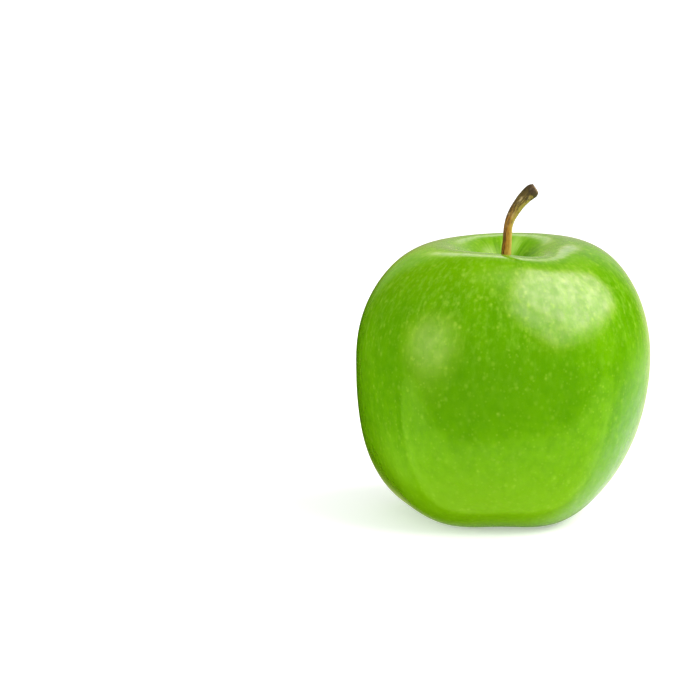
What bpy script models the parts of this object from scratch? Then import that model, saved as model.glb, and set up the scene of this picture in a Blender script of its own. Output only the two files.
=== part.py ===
# A whole green apple standing on its base: the fruit, the woody stem in its cavity, and the dried
# flower remains, or calyx, in the basin underneath. Metres, +Z up. The origin is on the floor, under
# the middle of the fruit, and -Y is the side with the dip in the shoulder in front of the stem.

import math

import bmesh
import bpy
from mathutils import Matrix, Vector
from mathutils.geometry import interpolate_bezier

MM = 0.001

# Fruit: the turned form, before its lobes
FRUIT_RADIUS = 38.0 * MM
FRUIT_HEIGHT = 71.0 * MM
WIDEST_HEIGHT = 41.2 * MM
BASE_RING_RADIUS = 16.0 * MM
CREST_RADIUS = 16.5 * MM
BASIN_DEPTH = 8.5 * MM
CAVITY_DEPTH = 12.5 * MM
THROAT_RADIUS = 1.8 * MM
THROAT_DEPTH = 3.0 * MM

# Fruit: how far the outline's curve handles reach before and after each of its knots
BASIN_HANDLES = (0, 7.5 * MM)
BASE_HANDLES = (6.0 * MM, 9.2 * MM)
SIDE_HANDLES = (30.0 * MM, 16.0 * MM)
CREST_HANDLES = (12.0 * MM, 6.5 * MM)
THROAT_HANDLES = (6.0 * MM, 2.4 * MM)
FLOOR_HANDLES = (1.7 * MM, 0)

# Fruit: what makes it uneven
LOBE_COUNT = 5
LOBE_TURN = math.radians(22.4)
LOBE_SWELL = 0.034
LOBE_STEP = 0.45 * MM
LOBE_TOP = 0.6 * WIDEST_HEIGHT
BASE_SHIFT = -1.6 * MM
CROWN_TILT = math.radians(2.5)
CROWN_HIGH_TURN = math.radians(40.0)
DIP_TURN = math.radians(-50.0)
DIP_HALF_WIDTH = math.radians(36.0)
DIP_DEPTH = 1.8 * MM
REST_FLAT = 0.3 * MM

# Fruit: rings along each span of the outline, and segments round it
SPAN_RINGS = {"basin": 9, "lower side": 16, "upper side": 15, "cavity": 9, "throat": 4}
FRUIT_SEGMENTS = 80

# Stem: its foot, then the place, heading, handles and radius of each bend after it
STEM_GAP = 0.3 * MM
STEM_FOOT_RADIUS = 1.36 * MM
STEM_FOOT_HANDLE = 4.5 * MM
STEM_BENDS = [
    (Vector((0.8, -0.2, 71.0)) * MM, Vector((0.09, 0, 1)), (4.5 * MM, 2.2 * MM), 1.22 * MM),
    (Vector((1.85, -0.3, 77.5)) * MM, Vector((0.34, 0, 1)), (2.2 * MM, 2.2 * MM), 1.1 * MM),
    (Vector((7.1, -0.8, 84.0)) * MM, Vector((1, -0.1, 0.58)), (3.6 * MM, 0), 1.6 * MM),
]
STEM_ROUNDING = 0.35 * MM
STEM_SIDE_RESOLUTION = 6
STEM_RINGS_A_SPAN = 14

# Calyx: the stub of the old flower, and the sepals that bend out of it and hang down
STUB_RADIUS = 1.8 * MM
STUB_TIP_RADIUS = 1.2 * MM
STUB_HEIGHT = 2.2 * MM
STUB_SIDES = 20
CALYX_GAP = 0.4 * MM
SEPAL_COUNT = 5
SEPAL_LENGTH = 6.0 * MM
SEPAL_WIDTH = 2.9 * MM
SEPAL_TAPER = 0.65
SEPAL_THICKNESS = 0.5 * MM
SEPAL_TIP_THINNING = 0.45
SEPAL_TROUGH = 0.35 * MM
SEPAL_ROOT_RADIUS = 0.6 * STUB_TIP_RADIUS
SEPAL_ROOT_ANGLE = math.radians(78)
SEPAL_TIP_ANGLE = math.radians(16)
SEPAL_TIP_SPREAD = math.radians(13)
SEPAL_TWIST = 0.12
SEPAL_TURN_SPREAD = 0.1
SEPAL_CUTS = 7
SEPAL_SIDES = 8

# Finishes: base colour and roughness
SKIN_FINISH = ((0.16, 0.40, 0.01), 0.28)
WOOD_FINISH = ((0.33, 0.19, 0.05), 0.62)
DRY_FINISH = ((0.16, 0.11, 0.045), 0.85)

# Weld distance for a curve's loose caps
WELD = 1e-6


def ease(share):
    """A smooth step: 0 below 0, 1 above 1."""
    share = min(max(share, 0.0), 1.0)
    return share * share * (3 - 2 * share)


def material(name, finish):
    colour, roughness = finish
    made = bpy.data.materials.new(name)
    made.use_nodes = True
    shader = made.node_tree.nodes["Principled BSDF"]
    shader.inputs["Base Color"].default_value = (*colour, 1.0)
    shader.inputs["Roughness"].default_value = roughness
    shader.inputs["Metallic"].default_value = 0.0
    return made


def add_object(name, mesh, collection, finish):
    made = bpy.data.objects.new(name, mesh)
    collection.objects.link(made)
    mesh.materials.clear()
    mesh.materials.append(finish)
    mesh.shade_smooth()
    return made


def curve_points(start, end, count):
    """Points from one knot up to the next, without the next. A knot is its place, its heading and
    its handle lengths."""
    start_place, start_heading, (_, start_reach) = start
    end_place, end_heading, (end_reach, _) = end
    leave = start_place + start_heading.normalized() * start_reach
    arrive = end_place - end_heading.normalized() * end_reach
    return interpolate_bezier(start_place, leave, arrive, end_place, count + 1)[:-1]


def fruit_outline():
    """The half outline as (radius, height) points, from the basin's centre round to the throat's."""
    throat_top = FRUIT_HEIGHT - CAVITY_DEPTH
    outward, upward = Vector((1, 0, 0)), Vector((0, 1, 0))
    knots = [
        (Vector((0, BASIN_DEPTH, 0)), outward, BASIN_HANDLES),
        (Vector((BASE_RING_RADIUS, 0, 0)), outward, BASE_HANDLES),
        (Vector((FRUIT_RADIUS, WIDEST_HEIGHT, 0)), upward, SIDE_HANDLES),
        (Vector((CREST_RADIUS, FRUIT_HEIGHT, 0)), -outward, CREST_HANDLES),
        (Vector((THROAT_RADIUS, throat_top, 0)), -upward, THROAT_HANDLES),
        (Vector((0, throat_top - THROAT_DEPTH, 0)), -outward, FLOOR_HANDLES),
    ]
    points = []
    for start, end, rings in zip(knots, knots[1:], SPAN_RINGS.values()):
        points += curve_points(start, end, rings)
    points.append(knots[-1][0])
    return [(point.x, point.y) for point in points]


def uneven(radius, height, turn):
    """The place of a point of the turned form once the fruit has its lobes, tilt and dip."""
    low = ease(1 - height / WIDEST_HEIGHT)
    high = ease((height - WIDEST_HEIGHT) / (FRUIT_HEIGHT - WIDEST_HEIGHT))
    lobe = math.cos(LOBE_COUNT * (turn - LOBE_TURN))

    spread = radius * (1 + LOBE_SWELL * low * lobe)
    x = spread * math.cos(turn) + BASE_SHIFT * low
    y = spread * math.sin(turn)

    # Between its five lobes the underside lifts off the floor, out to the lower side and into the basin
    under = ease(1 - height / LOBE_TOP) * ease(radius / BASE_RING_RADIUS)
    lift = LOBE_STEP * under * (1 - lobe) / 2

    # The crown stands higher on one side, and dips in front of the stem
    rise = spread * math.tan(CROWN_TILT) * math.cos(turn - CROWN_HIGH_TURN)
    away = math.remainder(turn - DIP_TURN, math.tau)
    dip = DIP_DEPTH * math.exp(-((away / DIP_HALF_WIDTH) ** 2)) * ease(radius / CREST_RADIUS)
    return Vector((x, y, height + lift + high * (rise - dip)))


def build_fruit(collection):
    """A sphere whose rings are carried onto the outline, and whose five lobes stand on the floor."""
    outline = fruit_outline()
    rings = len(outline) - 1
    shape = bmesh.new()
    bmesh.ops.create_uvsphere(shape, u_segments=FRUIT_SEGMENTS, v_segments=rings, radius=1.0)
    for vert in shape.verts:
        polar = math.acos(max(-1.0, min(1.0, -vert.co.z)))
        radius, height = outline[round(polar / math.pi * rings)]
        turn = math.atan2(vert.co.y, vert.co.x)
        vert.co = uneven(radius, height, turn)
        vert.co.z = max(vert.co.z - REST_FLAT, 0.0)
    mesh = bpy.data.meshes.new("fruit")
    shape.to_mesh(mesh)
    shape.free()

    fruit = add_object("fruit", mesh, collection, material("apple_skin", SKIN_FINISH))
    xs = [vert.co.x for vert in mesh.vertices]
    ys = [vert.co.y for vert in mesh.vertices]
    fruit.location = (-(min(xs) + max(xs)) / 2, -(min(ys) + max(ys)) / 2, 0)
    return fruit


def stem_path():
    """(place, radius) along the stem, from its foot in the throat to its thick, bent-over end."""
    throat_floor = FRUIT_HEIGHT - CAVITY_DEPTH - THROAT_DEPTH - REST_FLAT
    foot = Vector((0, 0, throat_floor + STEM_GAP + STEM_ROUNDING))
    knots = [(foot, Vector((0, 0, 1)), (0, STEM_FOOT_HANDLE))]
    radii = [STEM_FOOT_RADIUS]
    for place, heading, handles, radius in STEM_BENDS:
        knots.append((place, heading, handles))
        radii.append(radius)

    # Both ends are rounded off: a smaller ring lies just below the foot and just past the end
    path = [(foot - Vector((0, 0, STEM_ROUNDING)), STEM_FOOT_RADIUS - STEM_ROUNDING)]
    for span in range(len(STEM_BENDS)):
        start_radius, end_radius = radii[span], radii[span + 1]
        places = curve_points(knots[span], knots[span + 1], STEM_RINGS_A_SPAN)
        for step, place in enumerate(places):
            share = ease(step / STEM_RINGS_A_SPAN)
            path.append((place, start_radius + (end_radius - start_radius) * share))
    end_place, end_heading, _ = knots[-1]
    path.append((end_place, radii[-1]))
    past_end = end_place + end_heading.normalized() * STEM_ROUNDING
    path.append((past_end, radii[-1] - STEM_ROUNDING))
    return path


def weld(mesh):
    shape = bmesh.new()
    shape.from_mesh(mesh)
    bmesh.ops.remove_doubles(shape, verts=shape.verts, dist=WELD)
    bmesh.ops.recalc_face_normals(shape, faces=shape.faces)
    shape.to_mesh(mesh)
    shape.free()


def build_stem(collection, fruit):
    """A tube that tapers and thickens along its path."""
    curve = bpy.data.curves.new("stem path", "CURVE")
    curve.dimensions = "3D"
    curve.bevel_depth = 1.0
    curve.bevel_resolution = STEM_SIDE_RESOLUTION
    curve.use_fill_caps = True
    path = stem_path()
    spline = curve.splines.new("POLY")
    spline.points.add(len(path) - 1)
    for point, (place, radius) in zip(spline.points, path):
        point.co = (*place, 1.0)
        point.radius = radius
    guide = bpy.data.objects.new("stem guide", curve)
    collection.objects.link(guide)
    bpy.context.view_layer.update()
    graph = bpy.context.evaluated_depsgraph_get()
    mesh = bpy.data.meshes.new_from_object(guide.evaluated_get(graph))
    bpy.data.objects.remove(guide)
    mesh.name = "stem"
    weld(mesh)

    stem = add_object("stem", mesh, collection, material("stem_wood", WOOD_FINISH))
    stem.parent = fruit
    return stem


def sepal_mesh(tip_angle, twist):
    """One dried sepal: a tapering blade whose middle line is an arc, steep at the stub and flatter,
    at tip_angle below the level, at its tip. The blade is troughed and leans to one side."""
    shape = bmesh.new()
    bmesh.ops.create_cone(
        shape, cap_ends=True, segments=SEPAL_SIDES, radius1=1.0, radius2=1.0, depth=1.0
    )
    long_edges = [e for e in shape.edges if abs(e.verts[0].co.z - e.verts[1].co.z) > 0.5]
    bmesh.ops.subdivide_edges(shape, edges=long_edges, cuts=SEPAL_CUTS, use_grid_fill=True)
    bend = tip_angle - SEPAL_ROOT_ANGLE
    for vert in shape.verts:
        share = vert.co.z + 0.5
        across, through = vert.co.x, vert.co.y
        angle = SEPAL_ROOT_ANGLE + bend * share
        out = SEPAL_LENGTH * (math.sin(angle) - math.sin(SEPAL_ROOT_ANGLE)) / bend
        down = SEPAL_LENGTH * (math.cos(SEPAL_ROOT_ANGLE) - math.cos(angle)) / bend
        width = SEPAL_WIDTH / 2 * (1 - share) ** SEPAL_TAPER + SEPAL_THICKNESS / 3
        thickness = SEPAL_THICKNESS / 2 * (1 - SEPAL_TIP_THINNING * share)
        raised = through * thickness + SEPAL_TROUGH * across * across * (1 - share)
        side = across * width + twist * share * share * SEPAL_LENGTH
        vert.co = (out + raised * math.sin(angle), side, raised * math.cos(angle) - down)
    bmesh.ops.recalc_face_normals(shape, faces=shape.faces)
    mesh = bpy.data.meshes.new("sepal")
    shape.to_mesh(mesh)
    shape.free()
    return mesh


def build_calyx(collection, fruit):
    """Five dried sepals round the stub of the old flower, joined into one piece."""
    sepals = bpy.data.collections.new("sepals to join")
    collection.children.link(sepals)
    drop = Vector((0, 0, REST_FLAT + CALYX_GAP + STUB_HEIGHT / 2))
    root = uneven(0, BASIN_DEPTH, 0) - drop
    for number in range(SEPAL_COUNT):
        # Sines of unlike steps give each sepal its own droop, lean and turn
        tip_angle = SEPAL_TIP_ANGLE + SEPAL_TIP_SPREAD * math.sin(2.3 * number)
        twist = SEPAL_TWIST * math.cos(1.9 * number + 0.4)
        turn = LOBE_TURN + math.tau * (number + 0.5) / SEPAL_COUNT
        turn += SEPAL_TURN_SPREAD * math.sin(3.1 * number)
        sepal = bpy.data.objects.new(f"sepal {number}", sepal_mesh(tip_angle, twist))
        start = Matrix.Translation((SEPAL_ROOT_RADIUS, 0, 0))
        sepal.matrix_world = Matrix.Translation(root) @ Matrix.Rotation(turn, 4, "Z") @ start
        sepals.objects.link(sepal)

    shape = bmesh.new()
    bmesh.ops.create_cone(
        shape,
        cap_ends=True,
        segments=STUB_SIDES,
        radius1=STUB_TIP_RADIUS,
        radius2=STUB_RADIUS,
        depth=STUB_HEIGHT,
        matrix=Matrix.Translation(root),
    )
    mesh = bpy.data.meshes.new("calyx stub")
    shape.to_mesh(mesh)
    shape.free()
    stub = bpy.data.objects.new("calyx stub", mesh)
    collection.objects.link(stub)
    join = stub.modifiers.new("join sepals", "BOOLEAN")
    join.operation = "UNION"
    join.operand_type = "COLLECTION"
    join.collection = sepals
    join.solver = "EXACT"
    bpy.context.view_layer.update()
    graph = bpy.context.evaluated_depsgraph_get()
    joined = bpy.data.meshes.new_from_object(stub.evaluated_get(graph))
    for piece in [stub, *sepals.objects]:
        bpy.data.objects.remove(piece)
    bpy.data.collections.remove(sepals)
    joined.name = "calyx"

    calyx = add_object("calyx", joined, collection, material("calyx_dry", DRY_FINISH))
    calyx.parent = fruit
    return calyx


def main():
    for old in list(bpy.data.objects):
        bpy.data.objects.remove(old)
    apple = bpy.data.collections.new("apple")
    bpy.context.scene.collection.children.link(apple)
    fruit = build_fruit(apple)
    build_stem(apple, fruit)
    build_calyx(apple, fruit)
    bpy.context.view_layer.update()


main()
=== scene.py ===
from math import atan, cos, pi, radians, sin

import bmesh
import bpy
from mathutils import Matrix, Vector
from mathutils.geometry import interpolate_bezier


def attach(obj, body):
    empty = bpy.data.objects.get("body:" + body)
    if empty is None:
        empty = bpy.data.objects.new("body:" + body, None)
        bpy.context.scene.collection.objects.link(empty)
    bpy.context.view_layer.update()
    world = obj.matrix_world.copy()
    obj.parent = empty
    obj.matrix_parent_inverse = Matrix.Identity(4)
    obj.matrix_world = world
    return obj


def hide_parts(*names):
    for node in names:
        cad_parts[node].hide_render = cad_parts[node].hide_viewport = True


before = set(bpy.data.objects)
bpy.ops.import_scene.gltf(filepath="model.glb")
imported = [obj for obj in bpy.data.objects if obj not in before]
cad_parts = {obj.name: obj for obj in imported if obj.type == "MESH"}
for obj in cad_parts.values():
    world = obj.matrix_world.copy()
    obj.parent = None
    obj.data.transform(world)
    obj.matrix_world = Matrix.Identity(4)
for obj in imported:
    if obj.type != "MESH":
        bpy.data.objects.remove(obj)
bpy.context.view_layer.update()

mm = 0.001
mergeGap = 0.002 * mm    # vertices closer than this are the same one


# camera, fitted to the outline of the apple in the photo
view = {
    "aim": (0, 0, 36 * mm),     # point of the apple that the fit was made on
    "aimPixel": (502.2, 373.2),  # where that point falls in the picture
    "distance": 504.6 * mm,
    "elevation": 11,            # degrees above the level
    "lens": 100,                # mm
    "sensor": 36,               # mm across
    "nearest": 0.01,            # metres: nothing nearer is drawn
    "pictureSize": 700,
}


def placeCamera(values):
    bpy.ops.object.camera_add()
    camera = bpy.context.object
    camera.data.lens = values["lens"]
    camera.data.sensor_width = values["sensor"]
    camera.data.clip_start = values["nearest"]
    half = values["pictureSize"] / 2
    pixelsAway = values["lens"] / values["sensor"] * values["pictureSize"]
    tilt = radians(values["elevation"])
    back = Vector((0, -cos(tilt), sin(tilt)))
    yaw = atan((values["aimPixel"][0] - half) / pixelsAway)
    pitch = atan((values["aimPixel"][1] - half) / pixelsAway)
    ahead = -back * cos(yaw) - Vector((1, 0, 0)) * sin(yaw)
    right = ahead.cross(Vector((0, 0, 1))).normalized()
    up = right.cross(ahead)
    ahead = ahead * cos(pitch) + up * sin(pitch)
    up = right.cross(ahead)
    pose = Matrix((right, up, -ahead)).transposed().to_4x4()
    pose.translation = Vector(values["aim"]) + back * values["distance"]
    camera.matrix_world = pose
    bpy.context.scene.camera = camera


placeCamera(view)
print("camera placed")


# small helpers for modelling
def deselectAll():
    bpy.ops.object.select_all(action="DESELECT")


def makeActive(piece):
    deselectAll()
    piece.select_set(True)
    bpy.context.view_layer.objects.active = piece


def startEdit(piece):
    makeActive(piece)
    bpy.ops.object.mode_set(mode="EDIT")


def endEdit():
    bpy.ops.object.mode_set(mode="OBJECT")


def pick(piece, test):
    # selects the vertices whose place passes the test
    bpy.ops.mesh.select_mode(type="VERT")
    bpy.ops.mesh.select_all(action="DESELECT")
    shape = bmesh.from_edit_mesh(piece.data)
    for vert in shape.verts:
        vert.select_set(bool(test(vert.co)))
    shape.select_flush_mode()
    bmesh.update_edit_mesh(piece.data)


def useModifier(piece, kind, **settings):
    # adds a modifier, sets it and applies it
    makeActive(piece)
    modifier = piece.modifiers.new(kind.lower(), kind)
    for name, value in settings.items():
        setattr(modifier, name, value)
    bpy.ops.object.modifier_apply(modifier=modifier.name)


def subdivideSmooth(piece, levels):
    useModifier(piece, "SUBSURF", levels=levels, render_levels=levels)


def reliefPattern(name, size, depth=1):
    pattern = bpy.data.textures.new(name, "CLOUDS")
    pattern.noise_scale = size
    pattern.noise_depth = depth
    return pattern


def drawPath(name, knots):
    # a curve through knots of (place, heading, reach before, reach after), in mm
    shortestReach = 0.1
    bpy.ops.curve.primitive_bezier_curve_add(location=(0, 0, 0))
    path = bpy.context.object
    path.name = name
    path.data.dimensions = "3D"
    path.data.twist_mode = "MINIMUM"
    path.data.use_radius = False
    path.data.resolution_u = 24     # steps between two knots
    spline = path.data.splines[0]
    spline.bezier_points.add(len(knots) - len(spline.bezier_points))
    for point, (place, heading, before, after) in zip(spline.bezier_points, knots):
        heading = Vector(heading).normalized()
        point.handle_left_type = point.handle_right_type = "FREE"
        point.co = Vector(place) * mm
        point.handle_left = (Vector(place) - heading * max(before, shortestReach)) * mm
        point.handle_right = (Vector(place) + heading * max(after, shortestReach)) * mm
    return path


def finishPiece(piece, node, finish):
    piece.data.materials.clear()
    piece.data.materials.append(finish)
    makeActive(piece)
    bpy.ops.object.shade_smooth()
    deselectAll()
    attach(piece, "root")
    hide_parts(node)


# shader maths: a Wire is a node's output, and sums on Wires add Math nodes
class Wire:
    def __init__(self, finish, socket):
        self.finish = finish
        self.socket = socket

    def maths(self, operation, first, second):
        return self.finish.node("Math", {"operation": operation}, {0: first, 1: second})

    def __add__(self, other):
        return self.maths("ADD", self, other)

    def __radd__(self, other):
        return self.maths("ADD", other, self)

    def __sub__(self, other):
        return self.maths("SUBTRACT", self, other)

    def __rsub__(self, other):
        return self.maths("SUBTRACT", other, self)

    def __mul__(self, other):
        return self.maths("MULTIPLY", self, other)

    def __rmul__(self, other):
        return self.maths("MULTIPLY", other, self)

    def __truediv__(self, other):
        return self.maths("DIVIDE", self, other)

    def __pow__(self, other):
        return self.maths("POWER", self, other)


class Finish:
    def __init__(self, name):
        self.material = bpy.data.materials.new(name)
        self.material.use_nodes = True
        self.tree = self.material.node_tree
        self.shader = self.tree.nodes["Principled BSDF"]

    def node(self, kind, settings=None, sockets=None, give=0):
        # give: the output wanted, or several of them
        made = self.tree.nodes.new("ShaderNode" + kind)
        for name, value in (settings or {}).items():
            if name == "stops":
                self.setStops(made.color_ramp, value)
            else:
                setattr(made, name, value)
        for name, value in (sockets or {}).items():
            self.feed(made.inputs[name], value)
        if isinstance(give, (list, tuple)):
            return [Wire(self, made.outputs[name]) for name in give]
        return Wire(self, made.outputs[give])

    def setStops(self, ramp, stops):
        while len(ramp.elements) < len(stops):
            ramp.elements.new(1)
        for element, (position, colour) in zip(ramp.elements, stops):
            element.position = position
            element.color = (*colour, 1)

    def feed(self, socket, value):
        if isinstance(value, Wire):
            self.tree.links.new(value.socket, socket)
        elif socket.type == "RGBA":
            socket.default_value = (*value, 1)
        else:
            socket.default_value = value

    def mix(self, share, first, second):
        return self.node("Mix", {"data_type": "RGBA"}, {0: share, 6: first, 7: second}, give=2)

    def step(self, value, low, high):
        # 0 below low, 1 above high, smooth between; low may be the larger
        settings = {"interpolation_type": "SMOOTHSTEP"}
        return self.node("MapRange", settings, {0: value, 1: low, 2: high, 3: 0.0, 4: 1.0})

    def noise(self, place, scale, detail=2.0, roughness=0.5):
        sockets = {"Vector": place, "Scale": scale, "Detail": detail, "Roughness": roughness}
        return self.node("TexNoise", None, sockets)

    def spots(self, place, spacing, widest, narrowest):
        # round spots with middles about spacing apart: 0 beyond widest, 1 inside narrowest
        sockets = {"Vector": place, "Scale": 1 / spacing}
        away = self.node("TexVoronoi", None, sockets, give="Distance")
        return self.step(away, widest / spacing, narrowest / spacing)

    def point(self, x, y, z):
        return self.node("CombineXYZ", None, {0: x, 1: y, 2: z})

    def bump(self, height, distance):
        sockets = {"Height": height, "Distance": distance}
        self.set({"Normal": self.node("Bump", None, sockets)})

    def set(self, values):
        for name, value in values.items():
            self.feed(self.shader.inputs[name], value)

    def inMillimetres(self, place):
        scaled = self.node("VectorMath", {"operation": "SCALE"}, {0: place, 3: 1000.0})
        return [scaled, *self.node("SeparateXYZ", None, {0: scaled}, give=(0, 1, 2))]


# skin: half the fruit's outline, spun round and then laid on the CAD fruit
skinShape = {
    # knots: radius, height, heading, reach before and after, all mm, and rings to the next knot
    "outline": [
        (0, 8.2, (1, 0), 0, 7.5, 8),
        (16.0, -0.3, (1, 0), 6.0, 9.2, 17),
        (38.0, 40.9, (0, 1), 30.0, 16.0, 16),
        (16.5, 70.7, (-1, 0), 12.0, 6.5, 11),
        (1.8, 58.2, (0, -1), 6.0, 2.4, 5),
        (0, 55.2, (-1, 0), 1.7, 0, 0),
    ],
    "segments": 80,
    "waves": [(11.0, 0.10), (3.2, 0.018)],   # size and height of the skin's unevenness, mm
}

# colours are red, green, blue; a share says how far a colour covers what is under it
skinLook = {
    "deep": (0.072, 0.230, 0.0002),
    "bright": (0.106, 0.292, 0.0004),
    "frontShade": (0.060, 0.196, 0.0002),        # painted shade: a darker field on the front
    "frontShadeMiddle": (-5, -38, 38),           # mm
    "frontShadeNarrowing": (0.36, 1, 1.7),       # along x, y and z
    "frontShadeReach": (27, 9),                  # mm from its middle where it begins and is full
    "frontShadeShare": 0.50,
    "shoulder": (0.140, 0.330, 0.0004),     # on the left of the crown
    "shoulderShare": 0.50,
    "low": (0.150, 0.330, 0.0010),          # towards the base: partly a yellower skin, partly painted bounce light from the floor
    "baseTintAndBounceShare": 0.85,
    "cavity": (0.180, 0.410, 0.0060),
    "cavityShare": 0.40,
    "deepRayShare": 0.75,
    "streak": (0.350, 0.550, 0.1000),
    "paleRayShare": 0.70,
    "wideStreakShare": 0.60,
    # painted shade on the cavity's left wall
    "leftWallShadeShare": 0.45,
    "fleck": (0.190, 0.380, 0.0240),
    "fleckShares": (0.07, 0.42),            # everywhere, and added near the shoulders
    "freckle": (0.370, 0.560, 0.0500),
    "freckleShare": 0.9,
    "smallFreckles": (1.20, 0.44, 0.08),    # spacing, widest and narrowest, mm
    "largeFreckles": (2.2, 0.80, 0.05),
    "coat": 0.5,                            # the most that a blotch of wax gives
    "roughness": (0.060, 0.095, 0.16),      # where clean, where smeared, and added in the cavity
    "grainDepth": 0.042,                    # mm
}


def smoothFruit():
    # a merged, smoothed copy of the CAD fruit for the skin to be laid on
    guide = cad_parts["fruit"].copy()
    guide.data = guide.data.copy()
    guide.name = "fruitGuide"
    bpy.context.scene.collection.objects.link(guide)
    guide.hide_set(False)
    startEdit(guide)
    bpy.ops.mesh.select_all(action="SELECT")
    bpy.ops.mesh.remove_doubles(threshold=mergeGap)
    bend = radians(60)       # two triangles that bend by less become one quad
    bpy.ops.mesh.tris_convert_to_quads(face_threshold=bend, shape_threshold=bend)
    endEdit()
    subdivideSmooth(guide, 2)
    return guide


def outlinePoints(knots):
    points = []
    for start, end in zip(knots, knots[1:]):
        startRadius, startHeight, startHeading, _, reachAfter, rings = start
        endRadius, endHeight, endHeading, reachBefore, _, _ = end
        first = Vector((startRadius, startHeight, 0))
        last = Vector((endRadius, endHeight, 0))
        leave = first + Vector((*startHeading, 0)) * reachAfter
        arrive = last - Vector((*endHeading, 0)) * reachBefore
        points += interpolate_bezier(first, leave, arrive, last, rings + 1)[:-1]
    points.append(last)
    return [Vector((point.x, 0, point.y)) * mm for point in points]


def makeSkin(values):
    guide = smoothFruit()
    deselectAll()

    # half the outline is drawn by extruding one vertex on from point to point, then spun
    bpy.ops.mesh.primitive_plane_add(size=mm, location=(0, 0, 0))
    skin = bpy.context.object
    skin.name = "appleSkin"
    startEdit(skin)
    bpy.ops.mesh.select_all(action="SELECT")
    bpy.ops.mesh.merge(type="CENTER")
    points = outlinePoints(values["outline"])
    bpy.ops.transform.translate(value=points[0])
    for before, after in zip(points, points[1:]):
        bpy.ops.mesh.extrude_region_move(TRANSFORM_OT_translate={"value": after - before})
    bpy.ops.mesh.select_all(action="SELECT")
    bpy.ops.mesh.spin(steps=values["segments"], angle=2 * pi, center=(0, 0, 0), axis=(0, 0, 1))
    bpy.ops.mesh.select_all(action="SELECT")
    bpy.ops.mesh.remove_doubles(threshold=mergeGap)
    bpy.ops.mesh.normals_make_consistent(inside=False)
    endEdit()

    # laid on the guide it takes over the lobes, the tilt and the dip in the shoulder
    useModifier(skin, "SHRINKWRAP", target=guide, wrap_method="NEAREST_SURFACEPOINT")
    bpy.data.objects.remove(guide)
    subdivideSmooth(skin, 2)
    for number, (size, height) in enumerate(values["waves"]):
        pattern = reliefPattern(f"skinWaves{number}", size * mm)
        useModifier(skin, "DISPLACE", texture=pattern, strength=height * mm, mid_level=0.5)
    return skin


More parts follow.
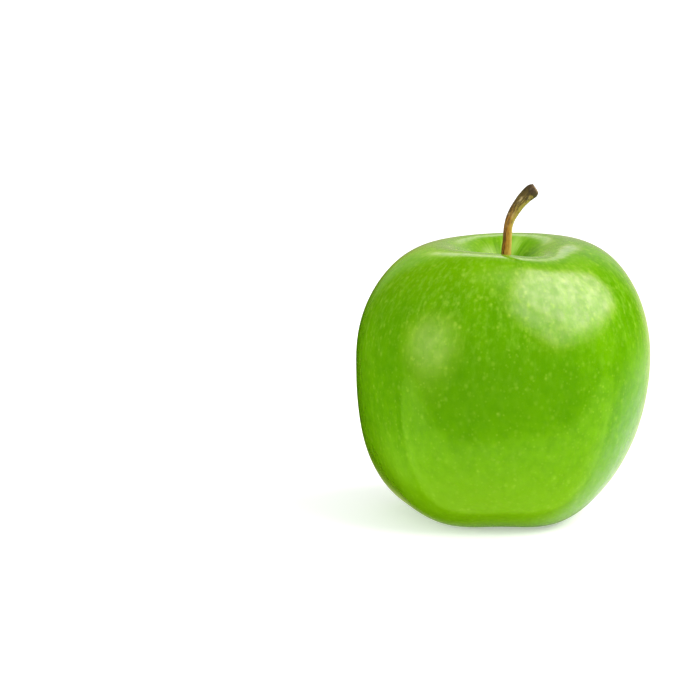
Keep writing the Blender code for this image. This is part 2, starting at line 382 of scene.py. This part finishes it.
def skinFinish(values):
    look = Finish("appleSkinFinish")
    place = look.node("TexCoord", give="Object")
    spot, x, y, z = look.inMillimetres(place)
    radius = (x * x + y * y) ** 0.5
    # turnX and turnY: an arrow of length 1 away from the stem; down: falls from crest to base
    turnX, turnY = x / (radius + 0.01), y / (radius + 0.01)
    down = z * 0.05 + radius * -0.05

    # broad patches, and streaks that run from the stem to the base
    broad = look.noise(spot, 0.045, 2.0)
    streaks = look.noise(look.point(turnX * 9, turnY * 9, down), 1.0, 3.0)
    fibres = look.noise(look.point(turnX * 34, turnY * 34, down * 2.4), 1.0, 2.0)
    mottle = look.noise(spot, 0.42, 3.0)
    shoulder = look.step(z, 30, 62)      # the streaks show on the upper half only
    streaks = streaks * shoulder + mottle * (1 - shoulder)
    fibres = fibres * shoulder + 0.5 * (1 - shoulder)
    tone = look.step(broad * 0.42 + streaks * 0.43 + fibres * 0.15, 0.36, 0.64)
    colour = look.mix(tone, values["deep"], values["bright"])
    # painted shade: a darker field on the front of the skin
    away = 0
    for along, middle, narrowing in zip((x, y, z), values["frontShadeMiddle"], values["frontShadeNarrowing"]):
        away = away + (along - middle) * (along - middle) * narrowing
    frontShade = look.step(away ** 0.5 + broad * 8, *values["frontShadeReach"])
    colour = look.mix(frontShade * values["frontShadeShare"], colour, values["frontShade"])
    left = look.step(z, 55, 67) * look.step(turnX, 0.5, -0.4)
    colour = look.mix(left * values["shoulderShare"], colour, values["shoulder"])
    # towards the base the skin is yellower, and lighter with painted bounce light from the floor
    low = look.step(z + broad * 14, 38, 6)
    colour = look.mix(low * values["baseTintAndBounceShare"], colour, values["low"])

    # the cavity is yellower, with deep and pale streaks that run down into it, a wide pale one
    # behind the stem, and painted shade on its left wall
    top = look.step(z, 50, 56)
    inside = look.step(radius, 17, 8) * top
    colour = look.mix(inside * values["cavityShare"], colour, values["cavity"])
    rays = look.noise(look.point(turnX * 5, turnY * 5, radius * 0.05), 1.0, 4.0, 0.62)
    darker = look.step(rays, 0.50, 0.38) * inside
    colour = look.mix(darker * values["deepRayShare"], colour, values["deep"])
    pale = look.step(rays, 0.53, 0.66) * look.step(radius, 16, 7) * top
    pale = pale * look.step(turnX, -1.0, 0.0)
    colour = look.mix(pale * values["paleRayShare"], colour, values["streak"])
    wide = look.step(turnX, 0.14, 0.26) * look.step(turnX, 0.42, 0.30) * look.step(turnY, 0.0, 0.5)
    wide = wide * look.step(radius, 17, 10) * top
    colour = look.mix(wide * values["wideStreakShare"], colour, values["streak"])
    # painted shade: the cavity's left wall is darkened
    leftWallShade = look.step(turnX, 0.1, -0.7) * inside
    colour = look.mix(leftWallShade * values["leftWallShadeShare"], colour, values["deep"])

    # pale flecks drawn out down the meridians, most of them near the shoulders
    along = z - radius
    drawn = look.point(turnX * 38, turnY * 38, along * 0.42)
    flecks = look.step(look.noise(drawn, 0.80, 3.0, 0.55), 0.44, 0.74)
    near = look.step(z + broad * 16, 46, 70)
    everywhere, added = values["fleckShares"]
    colour = look.mix(flecks * (everywhere + near * added), colour, values["fleck"])

    # freckles: fine faint ones, and larger soft ones that lengthen towards the shoulders
    small = look.spots(spot, *values["smallFreckles"])
    large = look.spots(look.point(x, y, z * 0.8), *values["largeFreckles"])
    dense = look.step(look.noise(spot, 0.45, 2.0), 0.38, 0.62)
    freckles = small * (0.03 + dense * 0.13) + large * (0.05 + dense * 0.13 + near * 0.10)
    colour = look.mix(freckles * values["freckleShare"], colour, values["freckle"])

    # the wax lies in blotches
    blotches = look.noise(look.point(x, y, z * 0.75), 0.45, 3.0, 0.55)
    wax = look.step(blotches, 0.34, 0.70) * values["coat"]
    smear = look.noise(look.point(turnX * 14, turnY * 14, down * 3), 1.0, 3.0)
    clean, smeared, inCavity = values["roughness"]
    look.set({
        "Base Color": colour,
        "Roughness": clean + (smeared - clean) * smear + inside * inCavity,
        "IOR": 1.5,
        "Specular IOR Level": 0.4,
        "Coat Weight": wax * (1 - inside),
        "Coat Roughness": 0.06,
        "Coat IOR": 1.5,
        "Subsurface Weight": 0.12,
        "Subsurface Radius": (0.5, 1.0, 0.2),
        "Subsurface Scale": 1.2 * mm,
    })
    grain = look.noise(look.point(x, y, z * 0.8), 0.58, 3.0, 0.55)
    look.bump(grain + small * 0.05 + large * 0.08, values["grainDepth"] * mm)
    return look.material


skin = makeSkin(skinShape)
finishPiece(skin, "fruit", skinFinish(skinLook))
print("skin made:", len(skin.data.polygons), "faces")


# stem: straight rings along +Z first, then ridges and bark, then it is bent along its path
stemShape = {
    # knots: place, heading, reach before and after, mm
    "path": [
        ((0, 0, 55.5), (0, 0, 1), 0, 4.8),
        ((0.74, -0.2, 71.0), (0.07, 0, 1), 4.5, 2.3),
        ((1.88, -0.3, 77.5), (0.54, 0, 1), 2.4, 2.5),
        ((7.9, -0.9, 84.6), (1, -0.1, 0.64), 3.8, 0),
    ],
    "sides": 24,
    # share of the length, radius in mm
    "rings": [
        (0.000, 1.15), (0.012, 1.32), (0.05, 1.36), (0.11, 1.31), (0.18, 1.23), (0.25, 1.17),
        (0.32, 1.20), (0.39, 1.30), (0.46, 1.21), (0.52, 1.13), (0.58, 1.10), (0.63, 1.12),
        (0.68, 1.22), (0.72, 1.34), (0.76, 1.44), (0.80, 1.50), (0.84, 1.57), (0.87, 1.64),
        (0.90, 1.72), (0.93, 1.80), (0.950, 1.84), (0.968, 1.80), (0.984, 1.64), (0.995, 1.34),
    ],
    # insets of the end face: width and rise, mm
    "scar": [(0.20, 0.08), (0.16, -0.20), (0.30, -0.12), (0.30, 0.10), (0.20, 0.02)],
    "tear": 0.20,               # how far the end's vertices stray, mm
    "tearStart": 0.985,         # share of the length
    # growth of each column of vertices
    "ridges": [1.0, 1.05, 1.02, 0.95, 0.97, 1.04, 1.07, 1.0, 0.94, 0.98, 1.05, 1.03,
               0.96, 0.93, 1.0, 1.06, 1.02, 0.96, 1.01, 1.05, 0.97, 0.94, 1.03, 0.98],
    "twist": 40,                # degrees over the whole length
    "bark": [(0.55, 0.16), (0.28, 0.07)],    # size and height of the bark's relief, mm
    "barkStretch": 6,           # how much longer the relief is along the stem
}

stemLook = {
    # dark, brown, ochre and straw run across the stem: partly its own colours, partly painted shade
    # and painted light
    "dark": (0.088, 0.042, 0.007),
    "brown": (0.320, 0.122, 0.008),
    "ochre": (0.440, 0.258, 0.034),
    "straw": (0.480, 0.350, 0.075),
    "shadow": (0.062, 0.046, 0.012),    # of the olive upper part
    "olive": (0.260, 0.205, 0.045),
    "green": (0.320, 0.280, 0.045),
    "fleck": (0.560, 0.410, 0.190),
    "tip": (0.034, 0.022, 0.011),
    "oliveStart": (21, 28),     # mm along the stem where the olive begins and is full
    "tipStart": 28.6,           # and where the dark tip begins
    "scar": (0.330, 0.245, 0.140),
    "grainDepth": 0.12,         # mm
}


def makeStem(values):
    path = drawPath("stemPath", values["path"])
    length = path.data.splines[0].calc_length(resolution=64)
    deselectAll()
    share, radius = values["rings"][0]
    bpy.ops.mesh.primitive_circle_add(
        vertices=values["sides"], radius=radius * mm, fill_type="NGON", location=(0, 0, 0)
    )
    stem = bpy.context.object
    stem.name = "woodyStem"
    startEdit(stem)
    bpy.ops.mesh.select_all(action="SELECT")
    height = 0
    for (lastShare, lastRadius), (share, radius) in zip(values["rings"], values["rings"][1:]):
        rise = (share - lastShare) * length
        bpy.ops.mesh.extrude_region_move(TRANSFORM_OT_translate={"value": (0, 0, rise)})
        height += rise
        grow = radius / lastRadius
        bpy.ops.transform.resize(value=(grow, grow, 1), center_override=(0, 0, height))
    for thickness, rise in values["scar"]:
        bpy.ops.mesh.inset(thickness=thickness * mm, depth=rise * mm)

    # every column of vertices moves in or out a little, so the stem has ridges
    for column, factor in enumerate(values["ridges"]):
        turn = 2 * pi * column / values["sides"]
        heading = Vector((-sin(turn), cos(turn)))
        pick(stem, lambda co: co.xy.length > 0.9 * mm and co.xy.normalized().dot(heading) > 0.995)
        bpy.ops.transform.resize(value=(factor, factor, 1), center_override=(0, 0, 0))
    # the torn end is uneven
    pick(stem, lambda co: co.z > values["tearStart"] * length)
    bpy.ops.transform.vertex_random(offset=values["tear"] * mm, seed=4)
    bpy.ops.mesh.select_all(action="SELECT")
    bpy.ops.mesh.normals_make_consistent(inside=False)
    endEdit()
    subdivideSmooth(stem, 2)

    # the grain follows the straight stem, so its places are kept before the bend
    straight = stem.data.attributes.new("straightPlace", "FLOAT_VECTOR", "POINT")
    straight.data.foreach_set("vector", [n for vert in stem.data.vertices for n in vert.co])
    bpy.ops.object.empty_add(location=(0, 0, 0))
    stretch = bpy.context.object
    stretch.scale = (1, 1, values["barkStretch"])
    bpy.context.view_layer.update()
    for number, (size, rise) in enumerate(values["bark"]):
        pattern = reliefPattern(f"bark{number}", size * mm, 2)
        useModifier(stem, "DISPLACE", texture=pattern, texture_coords="OBJECT",
                    texture_coords_object=stretch, strength=rise * mm, mid_level=0.5)
    bpy.data.objects.remove(stretch)
    useModifier(stem, "SIMPLE_DEFORM", deform_method="TWIST", deform_axis="Z",
                angle=radians(values["twist"]))
    useModifier(stem, "CURVE", object=path, deform_axis="POS_Z")
    bpy.data.objects.remove(path)
    return stem


def stemFinish(values):
    look = Finish("stemWoodFinish")
    place = look.node("Attribute", {"attribute_name": "straightPlace"}, give="Vector")
    spot, x, y, z = look.inMillimetres(place)
    grain = look.noise(look.point(x, y, z * 0.12), 2.2, 4.0, 0.62)
    fine = look.noise(look.point(x, y, z * 0.10), 6.5, 3.0, 0.62)
    blotch = look.noise(spot, 0.55, 2.0)

    # dark at the back of the bend, through brown to straw on the inside: the stem's own colour,
    # with painted shade on the back and painted light on the inside
    sideTintAndShade = look.step(grain * 0.8 - 0.4 - x, -1.55, 1.05)
    tone = 0.10 + sideTintAndShade * 0.68 + (grain - 0.5) * 0.75 + (fine - 0.5) * 0.75
    colour = look.node("ValToRGB", {"stops": [
        (0.10, values["dark"]), (0.26, values["brown"]),
        (0.52, values["ochre"]), (0.82, values["straw"]),
    ]}, {0: tone}, give="Color")

    # olive towards the tip, with pale flecks, then dark at the torn end
    upper = look.step(z + blotch * 6 - x, *values["oliveStart"])
    olive = look.mix(look.step(tone, 0.30, 0.75), values["olive"], values["green"])
    olive = look.mix(look.step(tone, 0.34, 0.14), olive, values["shadow"])
    colour = look.mix(upper * 0.85, colour, olive)
    flecks = look.spots(look.point(x, y, z * 0.55), 1.10, 0.66, 0.10)
    flecks = flecks * look.step(blotch, 0.40, 0.60)
    colour = look.mix(flecks * (0.10 + upper * 0.72), colour, values["fleck"])
    pits = look.spots(look.point(x + 3, y, z * 0.5), 0.80, 0.28, 0.10)
    colour = look.mix(pits * (0.25 + upper * 0.55), colour, values["shadow"])
    start = values["tipStart"]
    tip = look.step(z + (blotch - 0.5) * 7 + (fine - 0.5) * 4, start, start + 1.2)
    colour = look.mix(tip * 0.9, colour, values["tip"])
    middle = look.step((x * x + y * y) ** 0.5 + fine, 1.9, 1.3)
    scar = middle * look.step(z, start + 1.0, start + 1.4)
    colour = look.mix(scar * blotch, colour, values["scar"])
    look.set({
        "Base Color": colour,
        "Roughness": 0.45 + fine * 0.25,
        "IOR": 1.45,
        "Specular IOR Level": 0.3,
    })
    look.bump(grain * 0.5 + fine * 0.5 + flecks * 0.3 - pits * 0.3, values["grainDepth"] * mm)
    return look.material


stem = makeStem(stemShape)
finishPiece(stem, "stem", stemFinish(stemLook))
print("stem made:", len(stem.data.polygons), "faces")


# calyx: what is left of the flower, in the basin underneath
calyxShape = {
    "middle": (-1.6, 0.0),               # mm, as are all lengths here
    "stubTop": 7.75,
    "stubUnevenness": 0.05,
    # drop and radius of the stub's rings, from its top to its rim
    "stub": [
        (0, 1.30), (0.15, 1.70), (0.5, 1.74), (1.0, 1.60), (1.6, 1.38), (2.05, 1.28), (2.15, 1.18),
    ],
    "cup": [(0.20, 0.05), (0.14, -0.45), (0.30, -0.30), (0.25, -0.02)],   # insets: width and rise
    "sepalLength": 5.8,
    "sepalWidths": [1.7, 2.3, 2.8, 2.95, 2.7, 2.2, 1.6, 1.0, 0.35],
    "sepalThickness": 0.36,
    "sepalUnevenness": 0.09,
    "crinkle": (0.5, 0.12),              # size and height of the sepals' relief
    "troughs": [(0.14, 0.21), (0.84, 0.147)],    # half width and depth
    "sepalDrop": 0.55,                   # of their roots below the stub's top
    "rootRadius": 0.85,
    "rootAngle": 78,                     # degrees below the level
    "tipAngles": [16, 24, 8, 20, 11],
    "turns": [58.4, 134.0, 198.0, 276.5, 342.0],
    "stamens": 11,
    "stamenRadius": 0.075,
    "stamenDrop": 1.35,
    "stamen": [(0.7, 0.8), (0.6, 0.95), (0.12, 2.0), (0.16, 1.0), (0.10, 0.45)],   # drop, growth
}

calyxLook = {
    "dark": (0.045, 0.026, 0.012),
    "brown": (0.150, 0.092, 0.040),
    "pale": (0.340, 0.270, 0.150),       # of the sepals' tips
    "grainDepth": 0.15,                  # mm
}


def makeSepal(values, tipAngle, seed):
    # a strip up +Z, narrowed row by row, troughed and thickened, then bent down and outwards
    length, widths = values["sepalLength"] * mm, values["sepalWidths"]
    bpy.ops.mesh.primitive_grid_add(
        x_subdivisions=4, y_subdivisions=len(widths) - 1, size=length,
        location=(0, 0, 0), rotation=(pi / 2, 0, 0),
    )
    sepal = bpy.context.object
    bpy.ops.object.transform_apply(location=True, rotation=True, scale=True)
    startEdit(sepal)
    bpy.ops.mesh.select_all(action="SELECT")
    bpy.ops.transform.translate(value=(0, 0, length / 2))
    for row, width in enumerate(widths):
        height = length * row / (len(widths) - 1)
        pick(sepal, lambda co: abs(co.z - height) < 0.05 * mm)
        narrow = width * mm / length
        bpy.ops.transform.resize(value=(narrow, 1, 1), center_override=(0, 0, height))
    for halfWidth, depth in values["troughs"]:
        pick(sepal, lambda co: abs(co.x) < halfWidth * mm)
        bpy.ops.transform.translate(value=(0, depth * mm, 0))
    bpy.ops.mesh.select_all(action="SELECT")
    bpy.ops.transform.vertex_random(offset=values["sepalUnevenness"] * mm, seed=seed)
    endEdit()
    useModifier(sepal, "SOLIDIFY", thickness=values["sepalThickness"] * mm, offset=0)
    subdivideSmooth(sepal, 2)
    size, rise = values["crinkle"]
    crinkle = reliefPattern("crinkle", size * mm)
    useModifier(sepal, "DISPLACE", texture=crinkle, strength=rise * mm, mid_level=0.5)

    root, tip = radians(values["rootAngle"]), radians(tipAngle)
    out = values["sepalLength"] * (sin(root) - sin(tip)) / (root - tip)
    drop = values["sepalLength"] * (cos(tip) - cos(root)) / (root - tip)
    start = values["rootRadius"]
    reach = values["sepalLength"] / 3
    arc = drawPath("sepalArc", [
        ((start, 0, 0), (cos(root), 0, -sin(root)), 0, reach),
        ((start + out, 0, -drop), (cos(tip), 0, -sin(tip)), reach, 0),
    ])
    useModifier(sepal, "CURVE", object=arc, deform_axis="POS_Z")
    bpy.data.objects.remove(arc)
    return sepal


def makeStamen(values, number):
    # a dried thread with a swollen head, hanging from the cup
    deselectAll()
    lean = radians(9 + 7 * sin(number * 2.1))
    turn = 2 * pi * number * 0.382      # each a golden angle on from the last
    radius = values["stamenRadius"] * mm
    bpy.ops.mesh.primitive_circle_add(vertices=6, radius=radius, fill_type="NGON")
    stamen = bpy.context.object
    startEdit(stamen)
    bpy.ops.mesh.select_all(action="SELECT")
    height = 0
    for drop, grow in values["stamen"]:
        bpy.ops.mesh.extrude_region_move(TRANSFORM_OT_translate={"value": (0, 0, -drop * mm)})
        height -= drop * mm
        bpy.ops.transform.resize(value=(grow, grow, 1), center_override=(0, 0, height))
    bpy.ops.mesh.select_all(action="SELECT")
    bpy.ops.mesh.normals_make_consistent(inside=False)
    endEdit()
    away = (0.25 + 0.35 * (number % 3)) * mm
    stamen.rotation_euler = (0, -lean, turn)
    stamen.location = (away * cos(turn), away * sin(turn), -values["stamenDrop"] * mm)
    makeActive(stamen)
    bpy.ops.object.transform_apply(location=True, rotation=True, scale=True)
    subdivideSmooth(stamen, 1)
    return stamen


def makeCalyx(values):
    deselectAll()
    drop, radius = values["stub"][0]
    bpy.ops.mesh.primitive_circle_add(
        vertices=20, radius=radius * mm, fill_type="NGON", location=(0, 0, 0)
    )
    stub = bpy.context.object
    startEdit(stub)
    bpy.ops.mesh.select_all(action="SELECT")
    for (lastDrop, lastRadius), (drop, radius) in zip(values["stub"], values["stub"][1:]):
        fall = (lastDrop - drop) * mm
        bpy.ops.mesh.extrude_region_move(TRANSFORM_OT_translate={"value": (0, 0, fall)})
        grow = radius / lastRadius
        bpy.ops.transform.resize(value=(grow, grow, 1), center_override=(0, 0, -drop * mm))
    for thickness, rise in values["cup"]:
        bpy.ops.mesh.inset(thickness=thickness * mm, depth=rise * mm)
    bpy.ops.mesh.select_all(action="SELECT")
    bpy.ops.transform.vertex_random(offset=values["stubUnevenness"] * mm, seed=2)
    bpy.ops.mesh.normals_make_consistent(inside=False)
    endEdit()
    subdivideSmooth(stub, 2)

    parts = []
    for number, (tipAngle, turn) in enumerate(zip(values["tipAngles"], values["turns"])):
        sepal = makeSepal(values, tipAngle, number + 3)
        sepal.rotation_euler = (0, 0, radians(turn))
        sepal.location = (0, 0, -values["sepalDrop"] * mm)
        makeActive(sepal)
        bpy.ops.object.transform_apply(location=True, rotation=True, scale=True)
        parts.append(sepal)
    parts += [makeStamen(values, number) for number in range(values["stamens"])]
    deselectAll()
    for part in parts:
        part.select_set(True)
    stub.select_set(True)
    bpy.context.view_layer.objects.active = stub
    bpy.ops.object.join()
    x, y = values["middle"]
    stub.location = (x * mm, y * mm, values["stubTop"] * mm)
    makeActive(stub)
    bpy.ops.object.transform_apply(location=True, rotation=True, scale=True)
    stub.name = "driedCalyx"
    return stub


def calyxFinish(values):
    look = Finish("calyxFinish")
    place = look.node("TexCoord", give="Object")
    spot, x, y, z = look.inMillimetres(place)
    mottle = look.noise(spot, 0.9, 4.0, 0.6)
    fuzz = look.noise(spot, 5.0, 3.0, 0.7)
    tone = look.step(mottle * 0.7 + fuzz * 0.3, 0.36, 0.64)
    colour = look.mix(tone, values["dark"], values["brown"])
    edge = look.step(z + mottle * 2, 5.2, 3.2) * look.step(fuzz, 0.4, 0.7)
    colour = look.mix(edge * 0.7, colour, values["pale"])
    look.set({
        "Base Color": colour,
        "Roughness": 0.75 + fuzz * 0.2,
        "Specular IOR Level": 0.3,
    })
    look.bump(fuzz * 0.6 + mottle * 0.4, values["grainDepth"] * mm)
    return look.material


calyx = makeCalyx(calyxShape)
finishPiece(calyx, "calyx", calyxFinish(calyxLook))
print("calyx made:", len(calyx.data.polygons), "faces")


# studio: a pale floor in an even white surround, and two soft lights
studio = {
    "surround": 0.75,            # strength of the white all round
    # radius and height of the floor's edge and of the cove that rises round it, metres
    "cove": [(3.0, 0), (3.3, 0.03), (3.55, 0.12), (3.75, 0.30), (3.85, 0.6), (3.9, 1.2)],
    "floorColour": (0.86, 0.86, 0.86),
    "floorGlow": 0.35,
}

facedHeight = 38 * mm    # the lights and the cards face this height on the apple

# turn: degrees to the right of the camera; rise: degrees above the level; far, size: metres
softLights = {
    "keyLight": {"turn": 85, "rise": 45, "far": 1.1, "size": (1.2, 0.8), "power": 19},
    "leftLight": {"turn": -58, "rise": 16, "far": 1.0, "size": (0.6, 0.6), "power": 3.4},
}

# what the skin mirrors: bright cards round the apple that show in reflections only. corner: 2 is
# an ellipse, more is squarer; fade: share of the card that its soft edge takes up; roll: degrees;
# cover: share of what lies behind that a card hides; edgeBlue: share of its blue left at its edge
usualCard = {"far": 1.0, "roll": 0, "cover": 0.15, "edgeBlue": 0.15}

mirrored = {
    "keyGlow": {"turn": 89.6, "rise": 53.8, "size": (1.40, 1.33), "glow": (3.8, 2.9, 2.8),
                "corner": 6.5, "fade": 0.44, "roll": -5.8},
    "keyHalo": {"turn": 67.4, "rise": 48.5, "size": (1.82, 1.52), "glow": (3.5, 2.9, 2.3),
                "corner": 3.8, "fade": 0.50, "roll": 10},
    "topHalo": {"turn": 80.8, "rise": 65.2, "size": (2.24, 1.86), "glow": (1.7, 1.3, 1.2),
                "corner": 8.0, "fade": 1.0, "roll": 48},
    "keyTail": {"turn": 42, "rise": 24, "size": (0.9, 0.7), "glow": (1.1, 0.9, 0.08),
                "corner": 2.0, "fade": 1.0},
    "leftGlow": {"turn": -57.7, "rise": 15, "size": (1.31, 1.37), "glow": (3.5, 3.3, 1.34),
                 "corner": 2.2, "fade": 0.93},
    "backGlow": {"turn": 168, "rise": 16, "size": (1.37, 1.80), "glow": (0.60, 0.59, 0.40),
                 "corner": 3.1, "fade": 0.78},
    "backWindow": {"turn": 183, "rise": 30, "size": (0.56, 0.32), "glow": (1.1, 0.9, 0.95),
                   "corner": 3.0, "fade": 0.60},
    "leftBackGlow": {"turn": -157, "rise": 22, "size": (0.78, 1.03), "glow": (0.38, 0.58, 0.18),
                     "corner": 2.6, "fade": 0.75},
    "rightTable": {"turn": 141, "rise": -34.6, "size": (3.06, 1.93), "glow": (0.95, 1.08, 0.85),
                   "corner": 2.0, "fade": 0.78},
    "frontTable": {"turn": 5, "rise": -66, "size": (12.0, 1.48), "glow": (0.95, 1.50, 0.18),
                   "corner": 5.0, "fade": 0.35},
    "leftTable": {"turn": -96, "rise": -32, "size": (1.80, 0.75), "glow": (0.50, 0.90, 0.10),
                  "corner": 2.0, "fade": 0.90},
    # a small dim card on the floor, where the apple stands in its own shade
    "contactShade": {"turn": 0, "rise": -90, "size": (0.06, 0.06), "glow": (0.10, 0.20, 0.02),
                     "corner": 2.0, "fade": 0.40, "far": 37.8 * mm, "cover": 0.85},
}


def poseTowardsApple(turn, rise, far):
    turn, rise = radians(turn), radians(rise)
    away = Vector((sin(turn) * cos(rise), -cos(turn) * cos(rise), sin(rise)))
    across = Vector((cos(turn), sin(turn), 0))
    pose = Matrix((across, away.cross(across), away)).transposed().to_4x4()
    pose.translation = Vector((0, 0, facedHeight)) + away * far
    return pose


def makeLight(name, values):
    bpy.ops.object.light_add(type="AREA")
    light = bpy.context.object
    light.name = name
    light.matrix_world = poseTowardsApple(values["turn"], values["rise"], values["far"])
    light.data.shape = "RECTANGLE"
    light.data.size, light.data.size_y = values["size"]
    light.data.energy = values["power"]
    light.visible_camera = light.visible_glossy = False


def makeGlow(name, values):
    values = {**usualCard, **values}
    bpy.ops.mesh.primitive_plane_add(size=1, location=(0, 0, 0))
    card = bpy.context.object
    card.name = name
    pose = poseTowardsApple(values["turn"], values["rise"], values["far"])
    roll = Matrix.Rotation(radians(values["roll"]), 4, "Z")
    card.matrix_world = pose @ roll @ Matrix.Diagonal((*values["size"], 1, 1))

    look = Finish(name + "Finish")
    place = look.node("TexCoord", give="Object")
    x, y = look.node("SeparateXYZ", None, {0: place}, give=(0, 1))
    corner = values["corner"]
    sides = [look.node("Math", {"operation": "ABSOLUTE"}, {0: along * 2}) for along in (x, y)]
    outwards = (sides[0] ** corner + sides[1] ** corner) ** (1 / corner)
    share = look.step(outwards, 1.0, 1 - values["fade"])
    red, green, blue = values["glow"]
    edge = (red, green, blue * values["edgeBlue"])
    cover = values["cover"]
    look.set({
        "Base Color": (0, 0, 0),
        "Specular IOR Level": 0.0,
        "Alpha": share * cover,
        "Emission Color": look.mix(share, edge, values["glow"]),
        "Emission Strength": 1 / cover,
    })
    look.material.cycles.emission_sampling = "NONE"
    card.data.materials.append(look.material)
    card.visible_camera = card.visible_shadow = card.visible_diffuse = False


def makeStudio(values):
    deselectAll()
    radius, height = values["cove"][0]
    bpy.ops.mesh.primitive_circle_add(vertices=64, radius=radius, fill_type="NGON")
    floor = bpy.context.object
    floor.name = "floor"
    startEdit(floor)
    bpy.ops.mesh.select_mode(type="VERT")
    bpy.ops.mesh.select_all(action="SELECT")
    for (lastRadius, lastHeight), (radius, height) in zip(values["cove"], values["cove"][1:]):
        rise = height - lastHeight
        bpy.ops.mesh.extrude_edges_move(TRANSFORM_OT_translate={"value": (0, 0, rise)})
        grow = radius / lastRadius
        bpy.ops.transform.resize(value=(grow, grow, 1), center_override=(0, 0, 0))
    endEdit()
    look = Finish("floorFinish")
    look.set({
        "Base Color": values["floorColour"],
        "Roughness": 0.9,
        "Specular IOR Level": 0.0,
        "Emission Color": (1, 1, 1),
        "Emission Strength": values["floorGlow"],
    })
    look.material.cycles.emission_sampling = "NONE"
    floor.data.materials.append(look.material)
    floor.visible_glossy = False      # in the skin, the three table cards stand in for it

    world = bpy.data.worlds.new("surround")
    world.use_nodes = True
    world.node_tree.nodes["Background"].inputs["Color"].default_value = (1, 1, 1, 1)
    world.node_tree.nodes["Background"].inputs["Strength"].default_value = values["surround"]
    world.cycles_visibility.glossy = False
    bpy.context.scene.world = world
    bpy.context.scene.view_settings.view_transform = "Standard"


makeStudio(studio)
for name, values in softLights.items():
    makeLight(name, values)
for name, values in mirrored.items():
    makeGlow(name, values)
print("studio lit")
